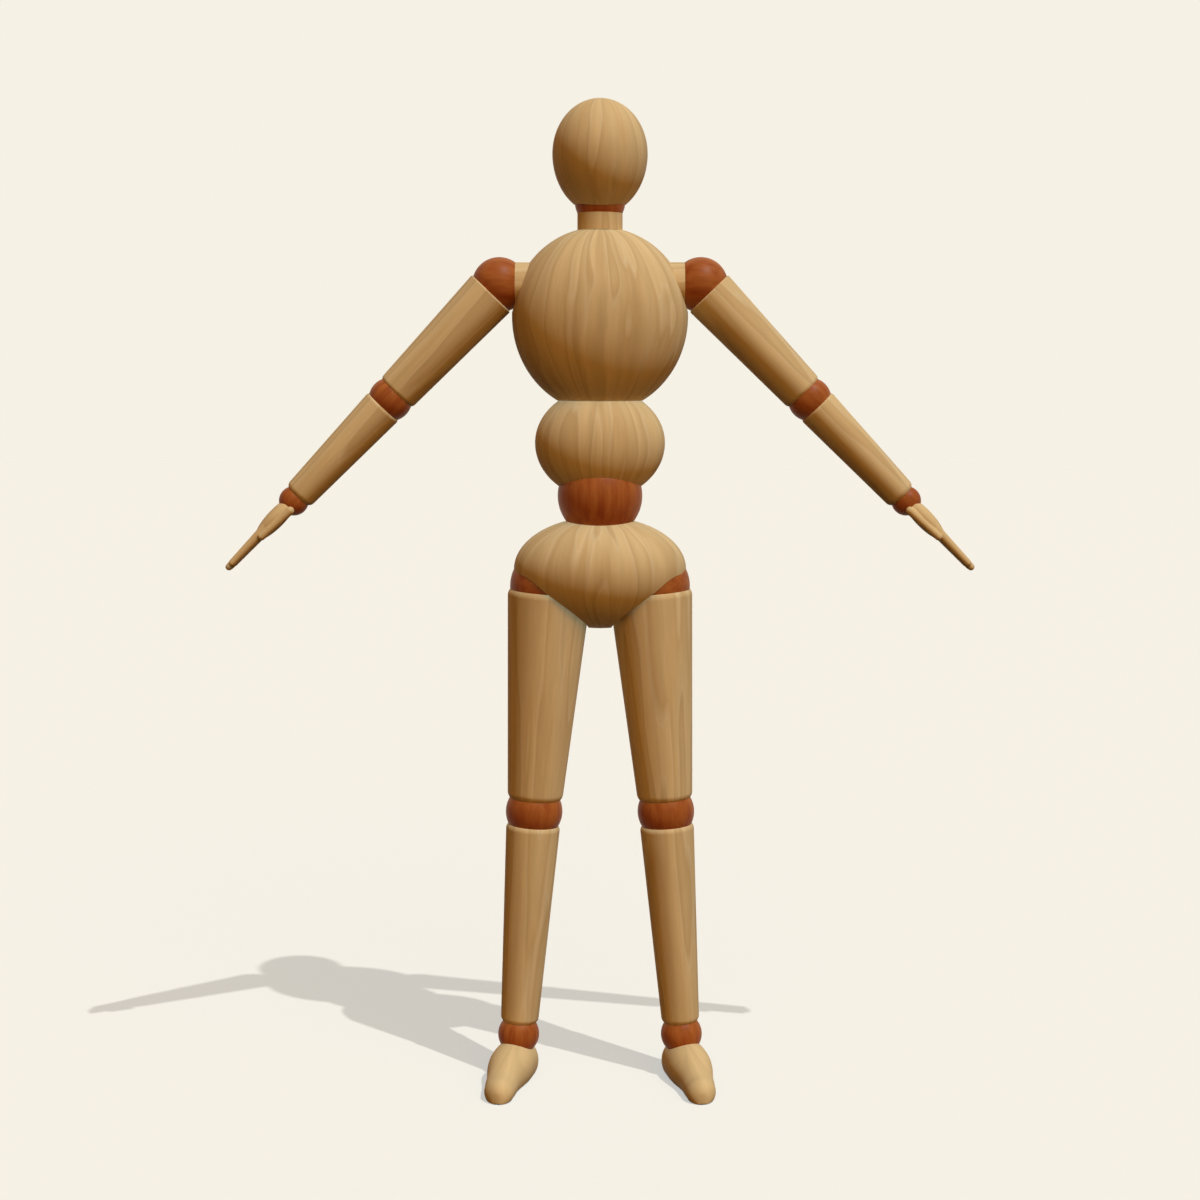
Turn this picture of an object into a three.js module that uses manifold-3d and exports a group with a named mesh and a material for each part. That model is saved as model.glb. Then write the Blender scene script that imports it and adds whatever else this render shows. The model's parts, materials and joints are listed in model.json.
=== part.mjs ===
// A jointed wooden figure for drawing, 300 mm tall, standing with its arms held out.
// Millimetres, +Z up, the figure faces -Y and its left side is +X.
// Turned beech blocks are held together by stained balls, and by wire and springs in their bores.

import * as THREE from 'three';
import { mergeVertices } from 'three/addons/utils/BufferGeometryUtils.js';
import Module from 'manifold-3d';

const wasm = await Module();
wasm.setup();

// Fits
const GAP = 0.3; // between a ball and its cup, and between flat faces that turn on each other
const BORE_GAP = 0.3; // round wires, springs and dowels in their bores
const SWEEP_GAP = 0.5; // between a thigh and the hollow that it swings in

// Steel
const WIRE = 0.7; // radius of the links through the balls
const LINK_INSET = 0.1; // how far a link stays below the surface of its ball
const SPRING_WIRE = 0.45;
const SPRING_TURNS = 4;
const SPRING_LEAD = 0.12; // share of its length in which a spring runs in to its axis
const LIMB_SPRING = 1.7; // radius to the middle of the spring's wire
const BODY_SPRING = 2.6;

// Leg
const ANKLE_HEIGHT = 13.1;
const SHIN_LENGTH = 70.7; // from ankle to knee centre
const THIGH_LENGTH = 70.1; // from knee to hip centre
const LEG_TILT = 4.1; // degrees outwards from upright
const HIP_X = 15.35;
const KNEE_BALL = 8.75;
const ANKLE_BALL = 6.4;
const THIGH_TOP = { radius: 12.65, round: 3.2, end: 0.3 };
const HIP_BALL_INSET = 0.5; // below the wall of the thigh's top
const THIGH_FOOT = { radius: 8.6, round: 3, end: 3.1 };
const SHIN_TOP = { radius: 8.3, round: 2.4, end: 3.3 };
const SHIN_FOOT = { radius: 5.9, round: 2.2, end: 3.6 };

// Hip movement that the pelvis is hollowed for, in degrees
const SWING_FORWARD = 20;
const SWING_BACK = 20;
const SPREAD_OUT = 15;
const SPREAD_IN = 2;

// Foot, from the ankle centre
const FOOT_TURN = 12; // degrees outwards
const HEEL_REACH = 8.8;
const TOE_REACH = 29.5;
const FOOT_HALF_WIDTH = 6.9;
const TOE_HALF_WIDTH = 4.6;
const INSTEP_HEIGHT = 11.8;
const TOE_HEIGHT = 6.8;
const HEEL_ROUND = 7.6; // length of the rounding behind
const TOE_ROUND = 5.3; // and in front
const HEEL_HALF_WIDTH = 6.4;
const HEEL_HEIGHT = 10.5;
const WAIST_HALF_WIDTH = 5; // where the foot is drawn in before the toes
const ARCH = 1.2; // how far the middle of the foot bows outwards
const WIDEST_AT = 14.5; // from the back of the heel
const HIGHEST_AT = 11.4;
const WAIST_AT = 28.2;
const TOES_AT = 33.2;
const WIDEST_UP = 0.36; // share of the height at which a section is widest
const BLUNT_END = 0.35; // share of the height that the rounded ends keep
const END_CUT = 0.15; // flat of the first and last section

// Trunk: half-axes of the egg-shaped blocks, and heights between their centres
const PELVIS = { x: 26.3, y: 19.5, up: 16, down: 18.1 };
const PELVIS_ABOVE_HIP = 5.2;
const WAIST_BALL = 12.9;
const WAIST_ABOVE_PELVIS = 22.4;
const BELLY = { x: 19.75, y: 14.3, up: 16.6, down: 16.95 };
const BELLY_ABOVE_WAIST = 16;
const BELLY_TOP = 12.7; // flat top above the belly's centre
const CHEST = { x: 26.6, y: 20.2, up: 26.8, down: 28.8 };
const CHEST_ABOVE_BELLY = 25.3; // chest centre above the belly's flat top

// Neck and head
const NECK_BALL = 7.6;
const NECK_ABOVE_CHEST = 34.3; // ball centre above the chest's centre
const POST_RADIUS = 6.8;
const POST_RIM = 3.46; // rim below the ball centre
const POST_SEAT = 8.6; // seat in the chest below the ball centre
const HEAD = { x: 14.3, y: 16.4, up: 16.4, down: 17.8 };
const HEAD_ABOVE_NECK = 14.1;

// Arm
const SHOULDER_X = 30.35;
const SHOULDER_ABOVE_CHEST = 9.6;
const ARM_LIFT = 44; // degrees outwards from hanging
const UPPER_ARM_LENGTH = 47.8; // from shoulder to elbow centre
const FOREARM_LENGTH = 42.8; // from elbow to wrist centre
const SHOULDER_BALL = 8.27;
const ELBOW_BALL = 6.6;
const WRIST_BALL = 4.5;
const PEG_RADIUS = 6.7;
const PEG_RIM = 4.9; // rim towards the chest from the ball centre
const PEG_SEAT = 14; // inner end of the peg from the ball centre
const UPPER_ARM_TOP = { radius: 7.95, round: 0.5, end: 3.6 };
const UPPER_ARM_FOOT = { radius: 6.5, round: 1.6, end: 2.4 };
const FOREARM_TOP = { radius: 6.2, round: 1.4, end: 2.6 };
const FOREARM_FOOT = { radius: 4.9, round: 2.2, end: 1.6 };

// Hand, from the wrist centre
const HAND_LENGTH = 29.4;
const HAND_START = 1.6;
const PALM_LENGTH = 15.8;
const PALM_WIDTH = 10.4;
const PALM_THICK = 5.5;
const WRIST_WIDTH = 6.9;
const WRIST_THICK = 4.7;
const KNUCKLE_WIDTH = 9.4;
const KNUCKLE_THICK = 3.3;
const WIDEST_PALM = 0.5; // share of the palm's length at which it is widest
const THICKEST_PALM = 0.45; // and thickest
const PALM_OUTWARDS = 0.25; // from the middle of the wrist, away from the body
const FINGERS_OUTWARDS = 0.35;
const FINGER_COUNT = 4;
const FINGER_ROOT = 3; // how far a finger runs back into the palm
const FINGER_RADIUS = 1.6;
const FINGER_TIP_RADIUS = 1.1;
const FINGER_STEP_BACK = 0.9; // how much shorter an outer finger is than an inner one
const THUMB_LENGTH = 12.4;
const THUMB_RADIUS = 1.3;
const THUMB_TIP_RADIUS = 1.15;
const THUMB_INWARDS = 1.5; // towards the body
const THUMB_ASIDE = 4.6; // from the middle of the palm to the front
const THUMB_LEAN = 4; // degrees, its tip towards the back of the hand

// Fineness of the turned surfaces
const FINE = 20;
const MIDDLE = 16;
const COARSE = 12;
const WIRE_SIDES = 6;
const SPRING_SIDES = 3;
const SPRING_STEPS = 5; // in each turn
const EDGE_STEPS = 2;
const CUP_STEPS = 2;
const BEND_STEPS = 3;
const HAND_SIDES = 10;
const PALM_STEPS = 4;
const FINGER_SIDES = 8;
const FOOT_STEPS = 9;

const DEGREE = Math.PI / 180;

const finishes = {
  beech: { color: 0xc39b62, roughness: 0.55, metalness: 0 },
  stained: { color: 0x9a4a1c, roughness: 0.4, metalness: 0 },
  steel: { color: 0xa9abad, roughness: 0.35, metalness: 0.9 },
};

// Plain closed geometry: shared vertices, no flat triangles, faces pointing out.
function closed(geometry) {
  const bare = geometry.clone();
  bare.deleteAttribute('normal');
  bare.deleteAttribute('uv');
  const merged = mergeVertices(bare, 1e-4);
  const position = merged.getAttribute('position');
  const index = merged.getIndex().array;
  const corner = (i) => new THREE.Vector3().fromBufferAttribute(position, i);
  const kept = [];
  let volume = 0;
  for (let i = 0; i < index.length; i += 3) {
    const [a, b, c] = [index[i], index[i + 1], index[i + 2]];
    if (a === b || b === c || c === a) continue;
    kept.push(a, b, c);
    volume += corner(a).dot(corner(b).cross(corner(c)));
  }
  if (volume < 0) kept.reverse();
  merged.setIndex(kept);
  return merged;
}

function toSolid(geometry) {
  const shape = closed(geometry);
  return new wasm.Manifold(new wasm.Mesh({
    numProp: 3,
    vertProperties: new Float32Array(shape.getAttribute('position').array),
    triVerts: new Uint32Array(shape.getIndex().array),
  }));
}

function toGeometry(solid) {
  const mesh = solid.getMesh();
  const geometry = new THREE.BufferGeometry();
  geometry.setAttribute('position', new THREE.BufferAttribute(mesh.vertProperties, 3));
  geometry.setIndex(new THREE.BufferAttribute(mesh.triVerts, 1));
  return geometry;
}

function cut(geometry, ...tools) {
  let solid = toSolid(geometry);
  for (const tool of tools) solid = solid.subtract(toSolid(tool));
  return toGeometry(solid);
}

function join(...geometries) {
  let solid = toSolid(geometries[0]);
  for (const more of geometries.slice(1)) solid = solid.add(toSolid(more));
  return toGeometry(solid);
}

// Turned shapes: a profile of [radius, height] points, spun round Z.
function turned(profile, sides) {
  const points = profile.map(([r, z]) => new THREE.Vector2(r, z));
  return new THREE.LatheGeometry(points, sides).rotateX(Math.PI / 2);
}

function arc(centreR, centreZ, radius, from, to, steps) {
  const points = [];
  for (let i = 0; i <= steps; i += 1) {
    const angle = (from + ((to - from) * i) / steps) * DEGREE;
    points.push([centreR + radius * Math.cos(angle), centreZ + radius * Math.sin(angle)]);
  }
  return points;
}

function onAxis(points) {
  return points.map(([r, z]) => [Math.abs(r) < 1e-6 ? 0 : r, z]);
}

function sphere(radius, sides) {
  return turned(onAxis(arc(0, 0, radius, -90, 90, sides / 2)), sides);
}

// A faceted cup has to clear the corners of a faceted ball.
function cupRadius(ball, sides = MIDDLE) {
  const flat = Math.cos(Math.PI / sides);
  return (ball + GAP) / (flat * flat);
}

function cupTool(ball, x, y, z, sides = MIDDLE) {
  return sphere(cupRadius(ball, sides), sides).translate(x, y, z);
}

function rod(radius, from, to, sides = WIRE_SIDES) {
  return turned([[0, from], [radius, from], [radius, to], [0, to]], sides);
}

// Egg-shaped block: other half-axes above and below the middle, flattened from front to back.
function egg({ x, y, up, down }, sides) {
  const below = onAxis(arc(0, 0, 1, -90, 0, sides / 4)).map(([r, z]) => [r * x, z * down]);
  const above = onAxis(arc(0, 0, 1, 0, 90, sides / 4)).map(([r, z]) => [r * x, z * up]);
  return turned([...below, ...above.slice(1)], sides).scale(1, y / x, 1);
}

// Round wire or dowel along a curve.
function along(curve, radius, steps, sides = WIRE_SIDES) {
  const section = new THREE.Shape();
  for (let i = 0; i < sides; i += 1) {
    const angle = (i * 2 * Math.PI) / sides;
    const [x, y] = [radius * Math.cos(angle), radius * Math.sin(angle)];
    if (i === 0) section.moveTo(x, y);
    else section.lineTo(x, y);
  }
  section.closePath();
  return new THREE.ExtrudeGeometry(section, { steps, bevelEnabled: false, extrudePath: curve });
}

// Spring on the Z axis: straight ends on the axis, coils between them.
class Coil extends THREE.Curve {
  constructor(from, to, radius, turns) {
    super();
    Object.assign(this, { from, to, radius, turns });
  }

  getPoint(t, target = new THREE.Vector3()) {
    const fromEnd = Math.min(t, 1 - t);
    const reach = this.radius * THREE.MathUtils.smoothstep(fromEnd, SPRING_LEAD / 3, SPRING_LEAD);
    const angle = t * this.turns * 2 * Math.PI;
    const z = this.from + (this.to - this.from) * t;
    return target.set(reach * Math.cos(angle), reach * Math.sin(angle), z);
  }

  getPointAt(t, target) {
    return this.getPoint(t, target);
  }
}

function spring(from, to, radius) {
  const coil = new Coil(from, to, radius, SPRING_TURNS);
  return along(coil, SPRING_WIRE, SPRING_TURNS * SPRING_STEPS, SPRING_SIDES);
}

const springBore = (radius) => radius + SPRING_WIRE + BORE_GAP;

// End of a limb at a ball: wall, rounded edge, flat, cup and bore, as [radius, distance from ball].
function limbEnd({ radius, round, end }, ball, bore) {
  const cup = cupRadius(ball);
  const edge = (share) => {
    const angle = (share * Math.PI) / 2;
    return [radius - round + round * Math.cos(angle), end + round - round * Math.sin(angle)];
  };
  const outside = (share) => Math.hypot(...edge(share)) > cup;
  const points = [];
  let rim = [radius, Math.sqrt(Math.max(cup * cup - radius * radius, 0))];
  if (outside(0)) {
    let share = 1;
    if (!outside(1)) {
      let inside = 1;
      share = 0;
      while (inside - share > 1e-6) {
        const middle = (inside + share) / 2;
        if (outside(middle)) share = middle;
        else inside = middle;
      }
    }
    for (let i = 0; i <= EDGE_STEPS; i += 1) points.push(edge((share * i) / EDGE_STEPS));
    const flatR = Math.sqrt(Math.max(cup * cup - end * end, 0));
    rim = share < 1 ? points.pop() : [flatR, end];
  }
  const rimAngle = Math.atan2(rim[1], rim[0]) / DEGREE;
  const boreAngle = Math.acos(bore / cup) / DEGREE;
  return [...points, ...arc(0, 0, cup, rimAngle, boreAngle, CUP_STEPS)];
}

// Hollow turned limb, from its upper ball at 0 down to its lower ball at -length.
function limb(length, top, topBall, foot, footBall, bore, sides) {
  const upper = limbEnd(top, topBall, bore).map(([r, z]) => [r, -z]);
  const lower = limbEnd(foot, footBall, bore).map(([r, z]) => [r, z - length]);
  const profile = [...upper.reverse(), ...lower];
  return turned([...profile, profile[0]], sides);
}

// Loft through rings that have as many points each, closed by a fan at both ends.
function loft(rings) {
  const count = rings[0].length;
  const points = rings.flat();
  const faces = [];
  for (let ring = 0; ring < rings.length - 1; ring += 1) {
    for (let i = 0; i < count; i += 1) {
      const a = ring * count + i;
      const b = ring * count + ((i + 1) % count);
      faces.push(a, b, b + count, a, b + count, a + count);
    }
  }
  const ends = [[0, 1], [rings.length - 1, -1]];
  for (const [ring, way] of ends) {
    const centre = new THREE.Vector3();
    for (const point of rings[ring]) centre.addScaledVector(point, 1 / count);
    const middle = points.push(centre) - 1;
    for (let i = 0; i < count; i += 1) {
      const a = ring * count + i;
      const b = ring * count + ((i + 1) % count);
      if (way > 0) faces.push(middle, b, a);
      else faces.push(middle, a, b);
    }
  }
  const geometry = new THREE.BufferGeometry().setFromPoints(points);
  geometry.setIndex(faces);
  return geometry;
}

function smoothBetween(stops, at) {
  let i = 0;
  while (i < stops.length - 2 && at > stops[i + 1][0]) i += 1;
  const [[from, low], [to, high]] = [stops[i], stops[i + 1]];
  const share = THREE.MathUtils.smoothstep(at, from, to);
  return low + (high - low) * share;
}

const figure = new THREE.Group();

function piece(parent, name, geometry, finish) {
  const shape = closed(geometry);
  shape.computeVertexNormals();
  const mesh = new THREE.Mesh(shape, new THREE.MeshStandardMaterial(finishes[finish]));
  mesh.name = name;
  parent.add(mesh);
  return mesh;
}

function groupAt(parent, x, y, z) {
  const group = new THREE.Group();
  group.position.set(x, y, z);
  parent.add(group);
  return group;
}

// Straight link through a ball, inside the ball's own sphere, and the ball bored for it.
const linkReach = (ball) => Math.sqrt(ball * ball - WIRE * WIRE) * Math.cos(Math.PI / COARSE) - LINK_INSET;

function boredBall(ball, sides) {
  return cut(sphere(ball, sides), rod(WIRE + BORE_GAP, -2 * ball, 2 * ball));
}

function ballWithLink(parent, name, ball, sides) {
  piece(parent, `${name}_ball`, boredBall(ball, sides), 'stained');
  piece(parent, `${name}_link`, rod(WIRE, -linkReach(ball), linkReach(ball)), 'steel');
}

// Rod that starts at the ball's centre and leaves it in a given direction.
function rodTowards(direction, radius, from, to) {
  const turn = new THREE.Quaternion().setFromUnitVectors(new THREE.Vector3(0, 0, 1), direction);
  return rod(radius, from, to).applyQuaternion(turn);
}

// Link that bends in the middle of its ball, from one direction into another.
function bentLinkBall(parent, name, ball, sides, first, second) {
  const reach = linkReach(ball);
  const bend = new THREE.QuadraticBezierCurve3(
    first.clone().multiplyScalar(reach),
    new THREE.Vector3(),
    second.clone().multiplyScalar(reach),
  );
  const bore = WIRE + BORE_GAP;
  const bored = cut(
    sphere(ball, sides),
    along(bend, bore / Math.cos(Math.PI / WIRE_SIDES), BEND_STEPS),
    rodTowards(first, bore, reach - WIRE, 2 * ball),
    rodTowards(second, bore, reach - WIRE, 2 * ball),
  );
  piece(parent, `${name}_ball`, bored, 'stained');
  piece(parent, `${name}_link`, along(bend, WIRE, BEND_STEPS), 'steel');
}

// Heights of the trunk, from the floor up
const legDrop = (SHIN_LENGTH + THIGH_LENGTH) * Math.cos(LEG_TILT * DEGREE);
const hipZ = ANKLE_HEIGHT + legDrop;
const pelvisZ = hipZ + PELVIS_ABOVE_HIP;
const waistZ = pelvisZ + WAIST_ABOVE_PELVIS;
const bellyZ = waistZ + BELLY_ABOVE_WAIST;
const flatZ = bellyZ + BELLY_TOP;
const chestZ = flatZ + CHEST_ABOVE_BELLY;
const neckZ = chestZ + NECK_ABOVE_CHEST;
const headZ = neckZ + HEAD_ABOVE_NECK;
const shoulderZ = chestZ + SHOULDER_ABOVE_CHEST;

const bodyBore = springBore(BODY_SPRING);
const limbBore = springBore(LIMB_SPRING);
const wireBore = WIRE + BORE_GAP;

const HIP_BALL = THIGH_TOP.radius - HIP_BALL_INSET;

// The sphere in which the thigh's top turns.
const hipSocket = (THIGH_TOP.radius + SWEEP_GAP) / Math.cos(Math.PI / FINE) ** 2;

// The thigh below its rounded top, a little enlarged, from the socket's surface down.
function thighClearance(sides) {
  const slope = (THIGH_TOP.radius - THIGH_FOOT.radius) / THIGH_LENGTH;
  const widest = THIGH_TOP.radius + SWEEP_GAP;
  const top = Math.sqrt(hipSocket * hipSocket - widest * widest);
  const low = THIGH_LENGTH / 2;
  const radiusAt = (depth) => widest - slope * depth;
  return turned([[0, -low], [radiusAt(low), -low], [radiusAt(top), -top], [0, -top]], sides);
}

function hipHollow(side) {
  let hollow = toSolid(sphere(hipSocket, FINE));
  const clearance = thighClearance(MIDDLE);
  for (const swing of [SWING_BACK, 0, -SWING_FORWARD]) {
    for (const spread of [-SPREAD_IN, SPREAD_OUT]) {
      const copy = clearance.clone();
      copy.rotateY(-side * (LEG_TILT + spread) * DEGREE);
      copy.rotateX(swing * DEGREE);
      hollow = hollow.add(toSolid(copy));
    }
  }
  return toGeometry(hollow).translate(side * HIP_X, 0, hipZ);
}

function buildPelvis() {
  const block = egg(PELVIS, FINE);
  block.translate(0, 0, pelvisZ);
  const waist = cupTool(WAIST_BALL, 0, 0, waistZ, FINE);
  const hanger = rod(bodyBore, hipZ, waistZ, MIDDLE);
  const cross = rod(wireBore, -HIP_X, HIP_X).rotateY(Math.PI / 2).translate(0, 0, hipZ);
  return cut(block, waist, hanger, cross, hipHollow(1), hipHollow(-1));
}

// Round-ended taper from z = -from down to z = -to.
function capsule(topRadius, tipRadius, from, to) {
  const top = arc(0, -from - topRadius, topRadius, 90, 0, 2);
  const tip = arc(0, -to + tipRadius, tipRadius, 0, -90, 2);
  return turned(onAxis([...top, ...tip]), FINGER_SIDES);
}

function buildPalm() {
  const widths = [[0, WRIST_WIDTH], [WIDEST_PALM, PALM_WIDTH], [1, KNUCKLE_WIDTH]];
  const thicknesses = [[0, WRIST_THICK], [THICKEST_PALM, PALM_THICK], [1, KNUCKLE_THICK]];
  const rings = [];
  for (let s = 0; s <= PALM_STEPS; s += 1) {
    const share = s / PALM_STEPS;
    const z = -HAND_START - (PALM_LENGTH - HAND_START) * share;
    const halfWidth = smoothBetween(widths, share) / 2;
    const halfThick = smoothBetween(thicknesses, share) / 2;
    const ring = [];
    for (let i = 0; i < HAND_SIDES; i += 1) {
      const angle = (i * 2 * Math.PI) / HAND_SIDES;
      ring.push(new THREE.Vector3(halfThick * Math.cos(angle), halfWidth * Math.sin(angle), z));
    }
    rings.push(ring);
  }
  return loft(rings);
}

function buildHand(side) {
  const fingers = [];
  const spacing = (KNUCKLE_WIDTH - 2 * FINGER_RADIUS) / (FINGER_COUNT - 1);
  for (let i = 0; i < FINGER_COUNT; i += 1) {
    const place = i - (FINGER_COUNT - 1) / 2;
    const tip = HAND_LENGTH - FINGER_STEP_BACK * (Math.abs(place) - 1 / 2);
    const finger = capsule(FINGER_RADIUS, FINGER_TIP_RADIUS, PALM_LENGTH - FINGER_ROOT, tip);
    finger.translate(side * FINGERS_OUTWARDS, place * spacing, 0);
    fingers.push(finger);
  }
  const thumb = capsule(THUMB_RADIUS, THUMB_TIP_RADIUS, 0, THUMB_LENGTH);
  thumb.rotateY(-side * THUMB_LEAN * DEGREE);
  thumb.translate(-side * THUMB_INWARDS, -THUMB_ASIDE, -HAND_START - THUMB_RADIUS);
  const palm = buildPalm().translate(side * PALM_OUTWARDS, 0, 0);
  return cut(join(palm, ...fingers, thumb), cupTool(WRIST_BALL, 0, 0, 0, COARSE));
}

// How full a rounded end is at a distance from its tip, from 0 to 1.
function roundedEnd(distance, round) {
  const short = Math.max(0, 1 - distance / round);
  return Math.sqrt(1 - short * short);
}

function buildFoot(side) {
  const length = HEEL_REACH + TOE_REACH;
  const widths = [[0, HEEL_HALF_WIDTH], [WIDEST_AT, FOOT_HALF_WIDTH],
    [WAIST_AT, WAIST_HALF_WIDTH], [TOES_AT, TOE_HALF_WIDTH]];
  const heights = [[0, HEEL_HEIGHT], [HIGHEST_AT, INSTEP_HEIGHT], [TOES_AT, TOE_HEIGHT]];
  const rings = [];
  for (let s = 0; s <= FOOT_STEPS; s += 1) {
    const even = (1 - Math.cos((s * Math.PI) / FOOT_STEPS)) / 2;
    const reach = END_CUT + even * (length - 2 * END_CUT);
    const full = roundedEnd(reach, HEEL_ROUND) * roundedEnd(length - reach, TOE_ROUND);
    const halfWidth = smoothBetween(widths, reach) * full;
    const height = smoothBetween(heights, reach) * (BLUNT_END + (1 - BLUNT_END) * full);
    const bow = side * ARCH * Math.sin((Math.PI * reach) / length);
    const ring = [];
    for (let i = 0; i < MIDDLE; i += 1) {
      const angle = (i * 2 * Math.PI) / MIDDLE;
      const lift = Math.max(0, height * (WIDEST_UP + (1 - WIDEST_UP) * Math.sin(angle)));
      const x = bow + halfWidth * Math.cos(angle);
      ring.push(new THREE.Vector3(x, HEEL_REACH - reach, lift - ANKLE_HEIGHT));
    }
    rings.push(ring);
  }
  return cut(loft(rings), cupTool(ANKLE_BALL, 0, 0, 0));
}

function buildArm(side, name) {
  const down = -side * ARM_LIFT * DEGREE;
  const shoulder = groupAt(figure, side * SHOULDER_X, 0, shoulderZ);
  const pegDown = [
    [wireBore, -PEG_SEAT],
    [PEG_RADIUS, -PEG_SEAT],
    ...limbEnd({ radius: PEG_RADIUS, round: 0, end: PEG_RIM }, SHOULDER_BALL, wireBore)
      .map(([r, z]) => [r, -z]),
  ];
  const peg = turned([...pegDown, pegDown[0]], MIDDLE).rotateY(side * Math.PI / 2);
  piece(shoulder, `${name}_shoulder_peg`, peg, 'beech');
  const inward = new THREE.Vector3(-side, 0, 0);
  const outward = new THREE.Vector3(0, 0, -1).applyAxisAngle(new THREE.Vector3(0, 1, 0), down);
  bentLinkBall(shoulder, `${name}_shoulder`, SHOULDER_BALL, MIDDLE, inward, outward);

  const arm = groupAt(shoulder, 0, 0, 0);
  arm.rotation.y = down;
  const upper = limb(UPPER_ARM_LENGTH, UPPER_ARM_TOP, SHOULDER_BALL, UPPER_ARM_FOOT, ELBOW_BALL,
    limbBore, MIDDLE);
  piece(arm, `${name}_upper_arm`, upper, 'beech');
  piece(arm, `${name}_upper_arm_spring`,
    spring(-SHOULDER_BALL - GAP, ELBOW_BALL + GAP - UPPER_ARM_LENGTH, LIMB_SPRING), 'steel');

  const elbow = groupAt(arm, 0, 0, -UPPER_ARM_LENGTH);
  ballWithLink(elbow, `${name}_elbow`, ELBOW_BALL, COARSE);
  const forearm = limb(FOREARM_LENGTH, FOREARM_TOP, ELBOW_BALL, FOREARM_FOOT, WRIST_BALL,
    limbBore, MIDDLE);
  piece(elbow, `${name}_forearm`, forearm, 'beech');
  piece(elbow, `${name}_forearm_spring`,
    spring(-ELBOW_BALL - GAP, WRIST_BALL + GAP - FOREARM_LENGTH, LIMB_SPRING), 'steel');

  const wrist = groupAt(elbow, 0, 0, -FOREARM_LENGTH);
  ballWithLink(wrist, `${name}_wrist`, WRIST_BALL, COARSE);
  piece(wrist, `${name}_hand`, buildHand(side), 'beech');
}

function buildLeg(side, name) {
  const hip = groupAt(figure, side * HIP_X, 0, hipZ);
  const outwards = -side * LEG_TILT * DEGREE;
  const inward = new THREE.Vector3(-side, 0, 0);
  const down = new THREE.Vector3(0, 0, -1).applyAxisAngle(new THREE.Vector3(0, 1, 0), outwards);
  bentLinkBall(hip, `${name}_hip`, HIP_BALL, MIDDLE, inward, down);

  const leg = groupAt(hip, 0, 0, 0);
  leg.rotation.y = outwards;
  const thigh = limb(THIGH_LENGTH, THIGH_TOP, HIP_BALL, THIGH_FOOT, KNEE_BALL, limbBore, MIDDLE);
  piece(leg, `${name}_thigh`, thigh, 'beech');
  piece(leg, `${name}_thigh_spring`,
    spring(-HIP_BALL - GAP, KNEE_BALL + GAP - THIGH_LENGTH, LIMB_SPRING), 'steel');

  const knee = groupAt(leg, 0, 0, -THIGH_LENGTH);
  ballWithLink(knee, `${name}_knee`, KNEE_BALL, MIDDLE);
  const shin = limb(SHIN_LENGTH, SHIN_TOP, KNEE_BALL, SHIN_FOOT, ANKLE_BALL, limbBore, MIDDLE);
  piece(knee, `${name}_shin`, shin, 'beech');
  piece(knee, `${name}_shin_spring`,
    spring(-KNEE_BALL - GAP, ANKLE_BALL + GAP - SHIN_LENGTH, LIMB_SPRING), 'steel');

  const ankle = groupAt(knee, 0, 0, -SHIN_LENGTH);
  ballWithLink(ankle, `${name}_ankle`, ANKLE_BALL, COARSE);
  const level = groupAt(ankle, 0, 0, 0);
  level.rotation.y = -outwards;
  const foot = buildFoot(side).rotateZ(side * FOOT_TURN * DEGREE);
  piece(level, `${name}_foot`, foot, 'beech');
}

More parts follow.
